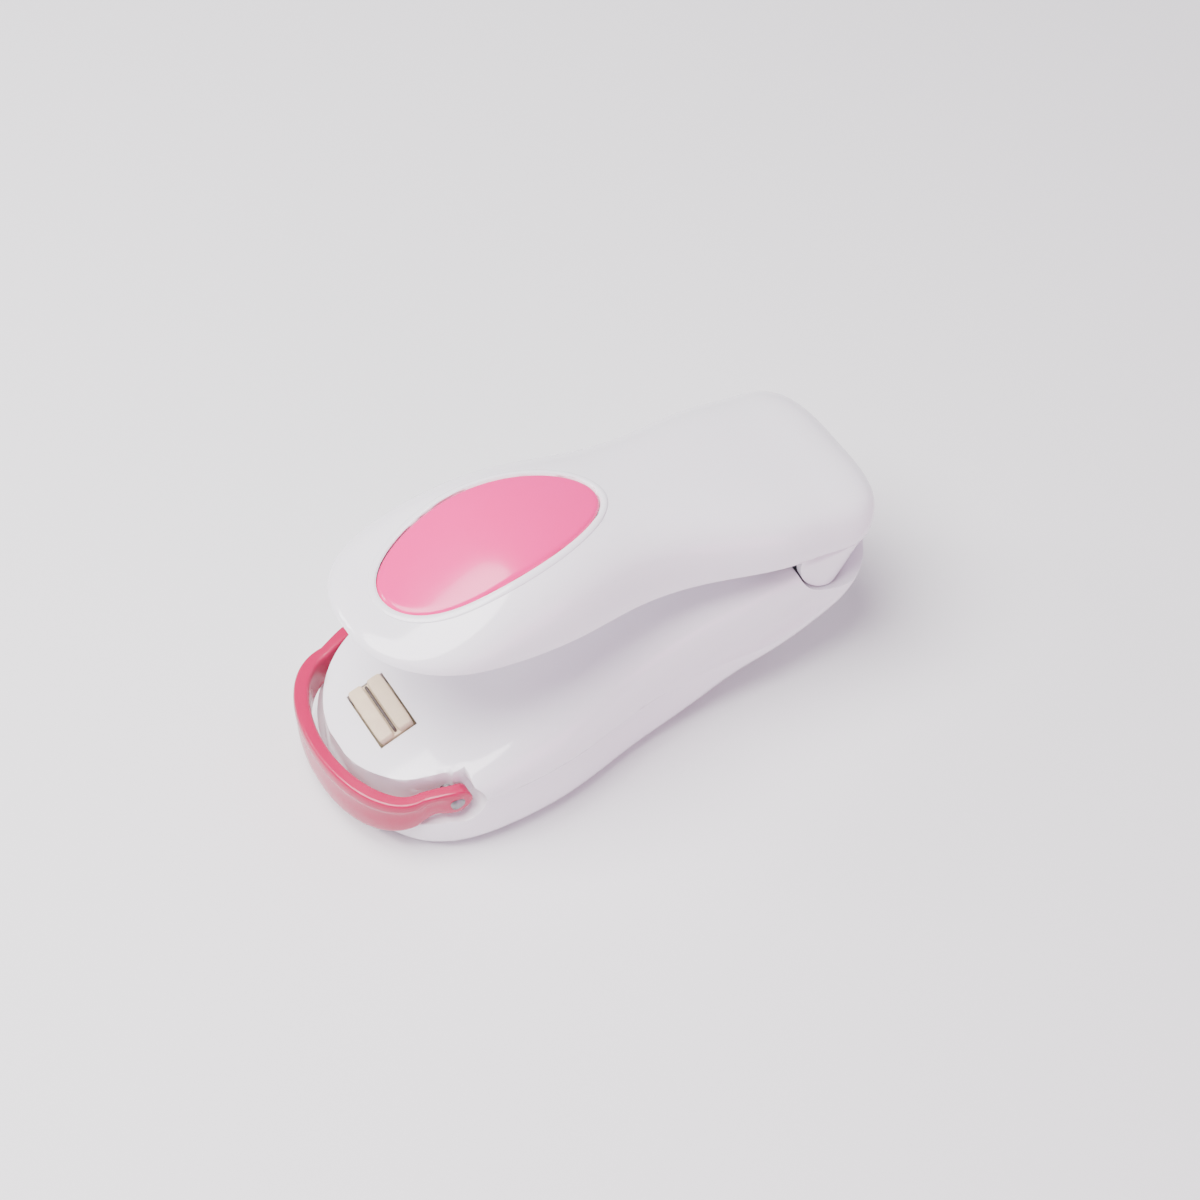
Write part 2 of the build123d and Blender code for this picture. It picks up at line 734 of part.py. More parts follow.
slot_depth = 1.1
wire_depth = 0.35
wire_leg = 4.9                # legs of the hot wire either side of the middle
flange_height = 1.2
blade_thickness = 0.4
contact_height = 0.3
with BuildPart() as heater_block:
    add(block_on(heater_frame(0, heater_height), heater_depth, heater_width, heater_height))
    add(block_on(heater_frame(0, flange_depth + 0.05 + flange_height),
                 heater_depth + 2 * heater_flange, heater_width + 2 * heater_flange, flange_height))
    add(block_on(heater_frame(0, slot_depth), slot_width, heater_width + 1, 2 * slot_depth),
        mode=Mode.SUBTRACT)
    for side in (-1, 1):
        add(rod_on(heater_frame(side * wire_leg, heater_height + 1), wire_diameter / 2 + 0.05, 8),
            mode=Mode.SUBTRACT)
heater_block.part.label = "heater_block"

leg_end = heater_height + 0.3
wire_points = [heater_frame(across, depth).origin for across, depth in
               ((-wire_leg, leg_end), (-wire_leg, wire_depth), (wire_leg, wire_depth),
                (wire_leg, leg_end))]
heater_wire = wire_along(wire_points, wire_diameter / 2)
heater_wire.label = "heater_wire"

plunger_wire = 0.35
with BuildPart() as heater_springs:
    for side in (-1, 1):
        add(coil(heater_frame(side * 3.0, bracket_depth - plunger_wire / 2), 1.2, plunger_wire, 1.0,
                 bracket_depth - heater_height - plunger_wire))
heater_springs.part.label = "heater_springs"

# ---------------------------------------------------------------- switch blades and leads
blade_face = heater_height + blade_thickness + contact_height
with BuildPart() as switch_blade_moving:
    add(block_on(heater_frame(0, heater_height + blade_thickness), 4.6, 2.2, blade_thickness))
    add(rod_on(heater_frame(0, blade_face), 0.8, contact_height))
switch_blade_moving.part.label = "switch_blade_moving"

fixed_face = blade_face + heater_travel + 0.05
with BuildPart() as switch_blade_fixed:
    add(block_on(heater_frame(0, bracket_depth), 1.0, 1.6, bracket_depth - fixed_face))
    add(block_on(heater_frame(0, fixed_face + blade_thickness), 3.6, 2.0, blade_thickness))
switch_blade_fixed.part.label = "switch_blade_fixed"

lead_radius = 0.55
lead_side = cell_pitch / 2
lead_back = -31.05
lead_front = -33.6
lead_top = 8.0
lead_foot = 4.2
with BuildPart() as heater_leads:
    for side in (-1, 1):
        add(wire_along([(lead_back, side * lead_side, lead_top),
                        (lead_front, side * lead_side, lead_top),
                        (lead_front, side * lead_side, lead_foot),
                        (lead_front, side * 5.55, lead_foot)], lead_radius))
heater_leads.part.label = "heater_leads"


# ---------------------------------------------------------------- cells and their contacts
def cell_frame(side, along):
    """Plane square to the cells, centred on one of them."""
    level = cell_plane.offset(along)
    return Plane(origin=level.from_local_coords((side * cell_pitch / 2, 0, 0)),
                 x_dir=level.x_dir, z_dir=level.z_dir)


def cell(side, button_end):
    """AA cell with its button at the end button_end points to."""
    can_length = cell_length - button_height
    can_start = -cell_length / 2 + (button_height if button_end < 0 else 0)
    can = rod_on(cell_frame(side, can_start), cell_radius, can_length)
    button_start = -cell_length / 2 if button_end < 0 else cell_length / 2 - button_height
    return can + rod_on(cell_frame(side, button_start), button_diameter / 2, button_height)


battery_left = cell(1, -1)
battery_left.label = "battery_left"
battery_right = cell(-1, 1)
battery_right.label = "battery_right"

plate_width = 8.0
plate_height = 9.0
dimple_radius = 2.2
battery_wire = 0.6
touch = 0.05                  # contacts stop this short of the cells
plate_face = bay_half - contact_thickness
reach = contact_travel - touch


def coil_to_cell(side, along):
    """Contact spring from its plate to a cell's flat end."""
    return coil(cell_frame(side, along), 3.0, battery_wire, 1.1, reach - battery_wire / 2)


with BuildPart() as contact_plate:
    add(block_on(cell_frame(1, -bay_half), plate_width, plate_height, contact_thickness))
    add(rod_on(cell_frame(1, -plate_face), dimple_radius, reach))
contact_plate.part.label = "contact_plate"

with BuildPart() as contact_spring:
    add(block_on(cell_frame(-1, -bay_half), plate_width, plate_height, contact_thickness))
    add(coil_to_cell(-1, -plate_face))
contact_spring.part.label = "contact_spring"

with BuildPart() as bridge_contact:
    add(block_on(cell_plane.offset(plate_face), cell_pitch + plate_width, plate_height,
                 contact_thickness))
    add(rod_on(cell_frame(-1, plate_face - reach), dimple_radius, reach))
    add(coil_to_cell(1, plate_face - reach + battery_wire / 2))
bridge_contact.part.label = "bridge_contact"

# ---------------------------------------------------------------- body screws
with BuildPart() as body_screws:
    for x, y in screw_spots:
        seat = screw_seat(x)
        add(post(x, y, screw_shank / 2, seat - 0.2, seat + screw_length))
        add(post(x, y, screw_head / 2, seat - screw_head_height, seat))
        cross = Plane((x, y, seat - screw_head_height))
        add(block_on(cross, 2.4, 0.5, 0.6), mode=Mode.SUBTRACT)
        add(block_on(cross, 0.5, 2.4, 0.6), mode=Mode.SUBTRACT)
body_screws.part.label = "body_screws"

# ---------------------------------------------------------------- write each piece
pieces = [base_shell.part, top_shell.part, battery_door.part, lever_shell, thumb_pad, lever_liner,
          lever_screws, press_pad, hinge_pin, lever_spring.part, lock_bail.part, bail_pins.part,
          heater_block.part, heater_wire, heater_springs.part, switch_blade_moving.part,
          switch_blade_fixed.part, heater_leads.part, battery_left, battery_right,
          contact_plate.part, contact_spring.part, bridge_contact.part, body_screws.part]
for piece in pieces:
    export_step(piece, f"parts/{piece.label}.step")
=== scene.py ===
"""Looks of the handheld bag heat sealer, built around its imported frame, in metres."""
import json

import bmesh
import bpy
import numpy as np
from bpy.props import FloatProperty, FloatVectorProperty, PointerProperty
from mathutils import Matrix, Vector


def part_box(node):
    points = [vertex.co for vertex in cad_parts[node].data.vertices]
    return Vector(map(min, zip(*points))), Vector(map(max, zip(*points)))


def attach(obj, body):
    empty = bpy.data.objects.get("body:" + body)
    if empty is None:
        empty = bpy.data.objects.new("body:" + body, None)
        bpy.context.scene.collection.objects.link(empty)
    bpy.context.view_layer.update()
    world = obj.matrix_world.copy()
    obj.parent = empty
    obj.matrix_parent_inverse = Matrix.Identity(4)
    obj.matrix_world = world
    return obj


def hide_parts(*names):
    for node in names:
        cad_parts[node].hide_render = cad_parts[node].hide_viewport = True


bl_info = {
    "name": "Bag heat sealer looks",
    "version": (1, 0, 0),
    "blender": (4, 5, 0),
    "location": "View3D > Sidebar > Sealer",
    "description": "Shells, thumb pad, lock bail, heater and studio of a handheld bag heat sealer",
    "category": "Add Mesh",
}

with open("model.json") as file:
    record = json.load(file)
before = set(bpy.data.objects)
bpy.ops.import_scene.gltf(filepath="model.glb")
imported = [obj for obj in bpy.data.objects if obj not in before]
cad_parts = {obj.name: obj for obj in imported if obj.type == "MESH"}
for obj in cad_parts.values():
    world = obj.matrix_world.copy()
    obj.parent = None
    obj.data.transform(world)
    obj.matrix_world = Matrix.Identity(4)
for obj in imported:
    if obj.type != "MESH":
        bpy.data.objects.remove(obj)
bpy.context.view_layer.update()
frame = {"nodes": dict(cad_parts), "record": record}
MM = 0.001
JOINTS = {joint["name"]: joint for joint in frame["record"]["behaviour"]["joints"]}
HINGE = np.array(JOINTS["lever_hinge"]["pos_m"])
OPEN_ANGLE = np.radians(-JOINTS["lever_hinge"]["range_deg"][0])
HEATER_AXIS = np.array(JOINTS["heater_press"]["axis"])
HEATER_TOP = (-37.35, 0.0, 17.19)    # middle of the strips' top face, in millimetres
HEATER_STRIP, HEATER_DEPTH, HEATER_WIDTH, HEATER_LIP = 2.7, 6.3, 11.3, 1.0
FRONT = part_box("lock_bail")[0][0]     # front of the bail: stations are counted from here


# ---------------------------------------------------------------- settings
def length(name, description, default):
    return FloatProperty(name=name, description=description, default=default * MM,
                         subtype="DISTANCE", unit="LENGTH")


def colour(name, description, default):
    return FloatVectorProperty(name=name, description=description, default=default, size=3,
                               min=0, max=1, subtype="COLOR")


class SealerFinishes(bpy.types.PropertyGroup):
    """Colours of the sealer's plastics."""
    # The shells are white plastic: the lilac in this colour and the next is a painted reflection of
    # pink surroundings, and the two tones drift into each other at random.
    shell: colour("Shell", "Glossy white of the shells", (0.90, 0.885, 0.925))
    shell_painted_lilac_tone: colour("Shell shade", "Lilac cast in the white", (0.885, 0.85, 0.91))
    pad: colour("Thumb pad", "Pink of the oval pad", (0.94, 0.026, 0.290))
    pad_shade: colour("Thumb pad shade", "Deeper pink towards the pad's edge", (0.90, 0.016, 0.225))
    bail: colour("Bail", "Rose of the lock bail", (0.50, 0.004, 0.085))
    bail_shade: colour("Bail shade", "Deeper rose in the bail", (0.42, 0.003, 0.062))
    heater: colour("Heater", "Cream of the heater strips", (0.80, 0.66, 0.45))
    heater_shade: colour("Heater shade", "Scorched cream", (0.62, 0.47, 0.33))


class SealerSizes(bpy.types.PropertyGroup):
    """Sizes of the detailed pieces."""
    pad_dome: length("Pad dome", "Middle of the pad above the lever", 0.05)
    pad_round: length("Pad round", "Rounded edge of the pad", 0.9)
    bezel_width: length("Bezel width", "White bead round the pad", 1.1)
    bezel_height: length("Bezel height", "How far the bead stands up", 0.22)
    bail_inset: length("Bail inset", "Bow drawn back from the front", 0.65)
    bail_draft: length("Bail draft", "Bow leans in this much at its lower edge", 0.8)
    bail_groove: length("Bail groove", "Depth of the two lines along the bail", 0.3)
    edge_break: length("Edge break", "Broken edges of the shells", 0.2)


def finishes():
    return bpy.context.scene.sealer_finishes


def sizes():
    return bpy.context.scene.sealer_sizes


# ---------------------------------------------------------------- meshes
def add_mesh(name, points, faces, smooth_angle=40):
    mesh = bpy.data.meshes.new(name)
    mesh.from_pydata(points.tolist(), [], faces)
    mesh.validate()
    mesh.polygons.foreach_set("use_smooth", np.ones(len(mesh.polygons), dtype=bool))
    mesh.set_sharp_from_angle(angle=np.radians(smooth_angle))
    piece = bpy.data.objects.new(name, mesh)
    bpy.context.collection.objects.link(piece)
    return piece


def loops_mesh(name, loops, smooth_angle=40):
    """Closed surface through stacked closed loops, given as an array (loop, point, xyz): each loop
    joins the next by quads, and a fan from its mean closes each end."""
    rows, columns = loops.shape[:2]
    ids = np.arange(rows * columns).reshape(rows, columns)
    right = np.roll(ids, -1, axis=1)
    quads = np.stack([ids[:-1], right[:-1], right[1:], ids[1:]], axis=-1).reshape(-1, 4).tolist()
    first, last = rows * columns, rows * columns + 1
    fan_first = np.stack([np.full(columns, first), right[0], ids[0]], axis=-1).tolist()
    fan_last = np.stack([np.full(columns, last), ids[-1], right[-1]], axis=-1).tolist()
    points = np.concatenate([loops.reshape(-1, 3), loops[0].mean(0)[None], loops[-1].mean(0)[None]])
    piece = add_mesh(name, points, quads + fan_first + fan_last, smooth_angle)
    face_outwards(piece)
    return piece


def face_outwards(piece):
    shape = bmesh.new()
    shape.from_mesh(piece.data)
    bmesh.ops.recalc_face_normals(shape, faces=shape.faces)
    shape.to_mesh(piece.data)
    shape.free()


def power_cos(turn, power):
    """Cosine raised to 2/power with its sign kept: the sides of a superellipse."""
    side = np.cos(turn)
    return np.sign(side) * np.abs(side) ** (2 / power)


def swing_open(points):
    """Turns points of the closed lever up about the hinge pin to where it rests open."""
    c, s = np.cos(OPEN_ANGLE), np.sin(OPEN_ANGLE)
    x, z = points[..., 0] - HINGE[0], points[..., 2] - HINGE[2]
    return np.stack([HINGE[0] + c * x + s * z, points[..., 1], HINGE[2] - s * x + c * z], axis=-1)


def finish_piece(piece, body, slot, material, *nodes):
    piece.data.materials.clear()
    piece.data.materials.append(material)
    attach(piece, body)
    if nodes:
        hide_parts(*nodes)
    return piece


def smooth_skin(node, name, body, slot, material, edge_break, smooth_angle=32):
    """Copy of a CAD node with its triangles joined, smooth but for its true edges, which are
    broken by a small bevel."""
    mesh = frame["nodes"][node].data.copy()
    mesh.name = name
    shape = bmesh.new()
    shape.from_mesh(mesh)
    bmesh.ops.remove_doubles(shape, verts=shape.verts, dist=1e-6)
    bmesh.ops.dissolve_degenerate(shape, dist=1e-6, edges=shape.edges)
    shape.to_mesh(mesh)
    shape.free()
    mesh.polygons.foreach_set("use_smooth", np.ones(len(mesh.polygons), dtype=bool))
    mesh.set_sharp_from_angle(angle=np.radians(smooth_angle))
    piece = bpy.data.objects.new(name, mesh)
    bpy.context.collection.objects.link(piece)
    if edge_break:
        bevel = piece.modifiers.new("broken edges", "BEVEL")
        bevel.width = edge_break
        bevel.segments = 2
        bevel.limit_method = "ANGLE"
        bevel.angle_limit = np.radians(50)
        bevel.harden_normals = False
    return finish_piece(piece, body, slot, material, node)


# ---------------------------------------------------------------- materials
def link(tree, start, end):
    tree.links.new(start, end)


def moulding_group():
    """Moulded plastic: colour drifts slowly between two shades, gloss varies in soft patches, and
    a fine orange-peel ripples the surface."""
    name = "moulded plastic"
    if name in bpy.data.node_groups:
        return bpy.data.node_groups[name]
    group = bpy.data.node_groups.new(name, "ShaderNodeTree")
    face = group.interface
    for label, kind, default in (("Colour", "NodeSocketColor", (0.8, 0.8, 0.8, 1)),
                                 ("Shade", "NodeSocketColor", (0.7, 0.7, 0.7, 1)),
                                 ("Gloss Low", "NodeSocketFloat", 0.12),
                                 ("Gloss High", "NodeSocketFloat", 0.22),
                                 ("Drift Scale", "NodeSocketFloat", 60.0),
                                 ("Peel Scale", "NodeSocketFloat", 900.0),
                                 ("Peel Depth", "NodeSocketFloat", 0.02)):
        face.new_socket(name=label, in_out="INPUT", socket_type=kind).default_value = default
    for label, kind in (("Colour", "NodeSocketColor"), ("Roughness", "NodeSocketFloat"),
                        ("Normal", "NodeSocketVector")):
        face.new_socket(name=label, in_out="OUTPUT", socket_type=kind)
    nodes = group.nodes
    given, result = nodes.new("NodeGroupInput"), nodes.new("NodeGroupOutput")
    place = nodes.new("ShaderNodeTexCoord")
    drift = nodes.new("ShaderNodeTexNoise")
    drift.inputs["Detail"].default_value = 3
    patch = nodes.new("ShaderNodeTexNoise")
    patch.inputs["Scale"].default_value = 220
    peel = nodes.new("ShaderNodeTexNoise")
    peel.inputs["Detail"].default_value = 2
    mix = nodes.new("ShaderNodeMix")
    mix.data_type = "RGBA"
    gloss = nodes.new("ShaderNodeMapRange")
    bump = nodes.new("ShaderNodeBump")
    bump.inputs["Distance"].default_value = 0.00005
    for texture in (drift, patch, peel):
        link(group, place.outputs["Object"], texture.inputs["Vector"])
    link(group, given.outputs["Drift Scale"], drift.inputs["Scale"])
    link(group, given.outputs["Peel Scale"], peel.inputs["Scale"])
    link(group, drift.outputs["Fac"], mix.inputs["Factor"])
    link(group, given.outputs["Colour"], mix.inputs["A"])
    link(group, given.outputs["Shade"], mix.inputs["B"])
    link(group, patch.outputs["Fac"], gloss.inputs["Value"])
    link(group, given.outputs["Gloss Low"], gloss.inputs["To Min"])
    link(group, given.outputs["Gloss High"], gloss.inputs["To Max"])
    link(group, given.outputs["Peel Depth"], bump.inputs["Strength"])
    link(group, peel.outputs["Fac"], bump.inputs["Height"])
    link(group, mix.outputs["Result"], result.inputs["Colour"])
    link(group, gloss.outputs["Result"], result.inputs["Roughness"])
    link(group, bump.outputs["Normal"], result.inputs["Normal"])
    return group


def plastic(name, tone, shade, gloss=(0.12, 0.22), drift=60, peel=(900, 0.02), coat=0.0,
            metallic=0.0, subsurface=0.0):
    """A moulded finish: the group above under the piece's own shader."""
    if name in bpy.data.materials:
        return bpy.data.materials[name]
    material = bpy.data.materials.new(name)
    material.use_nodes = True
    tree = material.node_tree
    shader = tree.nodes["Principled BSDF"]
    group = tree.nodes.new("ShaderNodeGroup")
    group.node_tree = moulding_group()
    for label, value in (("Colour", (*tone, 1)), ("Shade", (*shade, 1)), ("Gloss Low", gloss[0]),
                         ("Gloss High", gloss[1]), ("Drift Scale", drift), ("Peel Scale", peel[0]),
                         ("Peel Depth", peel[1])):
        group.inputs[label].default_value = value
    link(tree, group.outputs["Colour"], shader.inputs["Base Color"])
    link(tree, group.outputs["Roughness"], shader.inputs["Roughness"])
    link(tree, group.outputs["Normal"], shader.inputs["Normal"])
    shader.inputs["Metallic"].default_value = metallic
    shader.inputs["Coat Weight"].default_value = coat
    shader.inputs["Coat Roughness"].default_value = 0.04
    shader.inputs["IOR"].default_value = 1.5
    shader.inputs["Subsurface Weight"].default_value = subsurface
    shader.inputs["Subsurface Radius"].default_value = (0.9, 0.7, 0.7)
    shader.inputs["Subsurface Scale"].default_value = 0.001
    return material


# Glossy white whose two tones both carry a painted lilac reflection tint.
def shell_white_painted_lilac():
    tone = finishes()
    return plastic("glossy shell white with painted lilac reflection", tone.shell, tone.shell_painted_lilac_tone, gloss=(0.10, 0.16),
                   drift=35, peel=(700, 0.05), coat=0.15, subsurface=0.08)


def pad_pink():
    tone = finishes()
    return plastic("thumb pad pink", tone.pad, tone.pad_shade, gloss=(0.16, 0.26), drift=45,
                   peel=(650, 0.06), coat=0.12, subsurface=0.1)


def bail_rose():
    tone = finishes()
    return plastic("bail rose", tone.bail, tone.bail_shade, gloss=(0.18, 0.28), drift=90,
                   peel=(800, 0.05), coat=0.05, subsurface=0.08)


def heater_cream():
    tone = finishes()
    return plastic("heater cream", tone.heater, tone.heater_shade, gloss=(0.38, 0.55), drift=420,
                   peel=(1800, 0.25))


def bright_steel():
    return plastic("bright steel", (0.62, 0.62, 0.65), (0.50, 0.50, 0.53), gloss=(0.22, 0.38),
                   drift=500, peel=(2500, 0.1), metallic=1.0)


# Pin steel much darker than the other steel: partly the pins' own grey metal, partly painted shade
# standing in for the pivot recess they sit in.
def pin_steel_painted_shade():
    return plastic("pin steel with painted recess shade", (0.30, 0.29, 0.30), (0.20, 0.19, 0.20), gloss=(0.30, 0.45),
                   drift=700, peel=(2500, 0.15), metallic=1.0)


def spring_steel():
    return plastic("spring steel", (0.42, 0.42, 0.44), (0.30, 0.30, 0.32), gloss=(0.28, 0.42),
                   drift=600, peel=(2500, 0.1), metallic=1.0)


def hot_wire():
    return plastic("oxidised hot wire", (0.16, 0.13, 0.12), (0.09, 0.07, 0.07), gloss=(0.45, 0.6),
                   drift=1500, peel=(4000, 0.3), metallic=0.8)


def nickel():
    return plastic("nickel contact", (0.72, 0.70, 0.66), (0.60, 0.58, 0.54), gloss=(0.2, 0.3),
                   drift=400, peel=(2000, 0.08), metallic=1.0)


def silicone():
    return plastic("press pad silicone", (0.72, 0.71, 0.69), (0.62, 0.61, 0.60), gloss=(0.5, 0.65),
                   drift=300, peel=(1500, 0.2))


def lead_red():
    return plastic("lead insulation", (0.45, 0.03, 0.03), (0.36, 0.02, 0.02), gloss=(0.35, 0.5),
                   drift=500, peel=(1500, 0.1))


def cell_case():
    return plastic("cell case", (0.05, 0.06, 0.08), (0.09, 0.10, 0.13), gloss=(0.2, 0.35),
                   drift=120, peel=(900, 0.04), coat=0.2)


# ---------------------------------------------------------------- shape of the lever, closed
# The same law as the frame's lever, in millimetres from the front of the bail.
JAW_HEIGHT, JAW_RISE = 17.4, np.tan(np.radians(7.3))
LEVER_FRONT, LEVER_BACK = 7.2, 100.1
LEVER_HALF, LEVER_WAIST = 17.4, 2.9
CROWN_TIP, CROWN_HEIGHT, CROWN_REACH, CROWN_FALL = 2.2, 13.4, 30.0, 0.092
PAD_STATION, PAD_LENGTH, PAD_WIDTH = 31.3, 18.1, 9.9
WAIST_STATION, WAIST_REACH = 57.78, 25.125


def round_end(distance, reach, power):
    """0 at an end and 1 from reach onwards, along a superellipse."""
    inward = 1 - np.clip(distance / reach, 0, 1)
    return (1 - inward ** power) ** (1 / power)


def smooth_step(ratio):
    ratio = np.clip(ratio, 0, 1)
    return ratio * ratio * (3 - 2 * ratio)


def full_half_width(station):
    waist = np.cos(np.pi / 2 * np.minimum(np.abs(station - WAIST_STATION) / WAIST_REACH, 1)) ** 2
    nose = round_end(station - LEVER_FRONT, 21, 2.3)
    return (LEVER_HALF - LEVER_WAIST * waist) * nose * round_end(LEVER_BACK - station, 10, 3)


def full_crown(station):
    """Crown over the jaw plane: it climbs by a squared sine from the tip, then falls straight."""
    from_tip = station - LEVER_FRONT
    climb = np.sin(np.pi / 2 * np.clip(from_tip / CROWN_REACH, 0, 1)) ** 2
    height = CROWN_TIP * round_end(from_tip, 5, 2) + (CROWN_HEIGHT - CROWN_TIP) * climb
    return height - CROWN_FALL * np.maximum(from_tip - CROWN_REACH, 0)


def through(stations, values, at):
    """Natural cubic spline through values at stations: its second differences solve one linear
    system, and each span is the cubic that has its two ends' heights and curvatures."""
    gaps = np.diff(stations)
    count = len(stations)
    system = np.eye(count)
    rows = np.arange(1, count - 1)
    system[rows, rows - 1] = gaps[:-1]
    system[rows, rows] = 2 * (gaps[:-1] + gaps[1:])
    system[rows, rows + 1] = gaps[1:]
    slopes = np.diff(values) / gaps
    target = np.zeros(count)
    target[1:-1] = 6 * np.diff(slopes)
    bend = np.linalg.solve(system, target)
    span = np.clip(np.searchsorted(stations, at) - 1, 0, count - 2)
    gap = gaps[span]
    a, b = (stations[span + 1] - at) / gap, (at - stations[span]) / gap
    cubic = ((a ** 3 - a) * bend[span] + (b ** 3 - b) * bend[span + 1]) * gap ** 2 / 6
    return a * values[span] + b * values[span + 1] + cubic


SECTIONS = LEVER_FRONT + np.array([0.15, 1.0, 3.0, 6.5, 12.0, 20.0, 32.975, 45.95, 58.925, 71.9])


def lever_top(station, across):
    """Height of the closed lever's crown: a superellipse across, whose half width and height run
    through the same sections as the frame's lever."""
    jaw = JAW_HEIGHT + station * JAW_RISE
    height = through(SECTIONS, full_crown(SECTIONS), station)
    half = through(SECTIONS, full_half_width(SECTIONS), station)
    power = 2.5 + 1.3 * smooth_step((station - 30) / 50)
    side = np.clip(np.abs(across) / half, 0, 1)
    return jaw + height * (1 - side ** power) ** (1 / power)


def oval_loop(scale_along, scale_across, turns):
    """Thumb pad's outline: an ellipse, wider towards the nose."""
    along = PAD_STATION + scale_along * np.cos(turns)
    across = scale_across * np.sin(turns) * (1 - 0.15 * np.cos(turns))
    return along, across


def on_lever(along, across, lift):
    """Points over the crown of the lever as it rests open, in metres."""
    height = lever_top(along, across) + lift
    points = np.stack([FRONT + along * MM, across * MM, height * MM], axis=-1)
    return swing_open(points)


# ---------------------------------------------------------------- operators
class SEALER_OT_shells(bpy.types.Operator):
    """Lever, top and base shells, battery door and liner, with their edges broken"""
    bl_idname = "sealer.shells"
    bl_label = "Shells"

    def execute(self, context):
        edge = sizes().edge_break
        for node, name, body in (("lever_shell", "lever_moulding", "lever"),
                                 ("top_shell", "body_top_moulding", "body"),
                                 ("base_shell", "body_base_moulding", "body"),
                                 ("battery_door", "battery_door_moulding", "door"),
                                 ("lever_liner", "lever_liner_moulding", "lever")):
            smooth_skin(node, name, body, "white_abs", shell_white_painted_lilac(), edge)
        return {"FINISHED"}


class SEALER_OT_thumb_pad(bpy.types.Operator):
    """Oval thumb pad and the white bead round it"""
    bl_idname = "sealer.thumb_pad"
    bl_label = "Thumb pad"

    def execute(self, context):
        size = sizes()
        turns = np.linspace(0, 2 * np.pi, 160, endpoint=False)
        # Pad: a quarter circle rounds the edge, then the dome rises as one minus the radius
        # squared. Each loop is the outline shrunk by the round, then scaled to the middle.
        round_off, dome = size.pad_round / MM, size.pad_dome / MM
        edge, sink, proud = 0.15, 0.75, 0.1
        rows = [(edge, 1.0, -sink)]
        rows += [(edge + round_off * (1 - np.cos(a)), 1.0, proud - sink * (1 - np.sin(a)))
                 for a in np.linspace(0, np.pi / 2, 9)]
        rows += [(edge + round_off, shrink, proud + dome * (1 - shrink ** 2))
                 for shrink in np.linspace(0.96, 0.02, 26)]
        loops = []
        for inset, shrink, lift in rows:
            along, across = oval_loop((PAD_LENGTH - inset) * shrink, (PAD_WIDTH - inset) * shrink,
                                      turns)
            loops.append(on_lever(along, across, lift))
        pad = loops_mesh("thumb_pad_dome", np.array(loops), 60)
        finish_piece(pad, "lever", "pink_abs", pad_pink(), "thumb_pad")
        # Bead: half a circle swept round the outline, standing on the lever.
        width, height = size.bezel_width / MM, size.bezel_height / MM
        bead = []
        for angle in np.linspace(0, 2 * np.pi, 20, endpoint=False):
            grow = 0.1 + width / 2 + width / 2 * np.cos(angle)
            lift = height * np.sin(angle) if np.sin(angle) > 0 else 0.25 * np.sin(angle)
            along, across = oval_loop(PAD_LENGTH + grow, PAD_WIDTH + grow, turns)
            bead.append(on_lever(along, across, lift))
        bead = np.array(bead).transpose(1, 0, 2)
        ring = ring_mesh("pad_bead", bead)
        finish_piece(ring, "lever", "white_abs", shell_white_painted_lilac())
        return {"FINISHED"}


def ring_mesh(name, grid):
    """Closed tube round a closed path, given as an array (along the path, round it, xyz)."""
    rows, columns = grid.shape[:2]
    ids = np.arange(rows * columns).reshape(rows, columns)
    down, right = np.roll(ids, -1, axis=0), np.roll(ids, -1, axis=1)
    corner = np.roll(down, -1, axis=1)
    quads = np.stack([ids, right, corner, down], axis=-1).reshape(-1, 4).tolist()
    piece = add_mesh(name, grid.reshape(-1, 3), quads, 60)
    face_outwards(piece)
    return piece


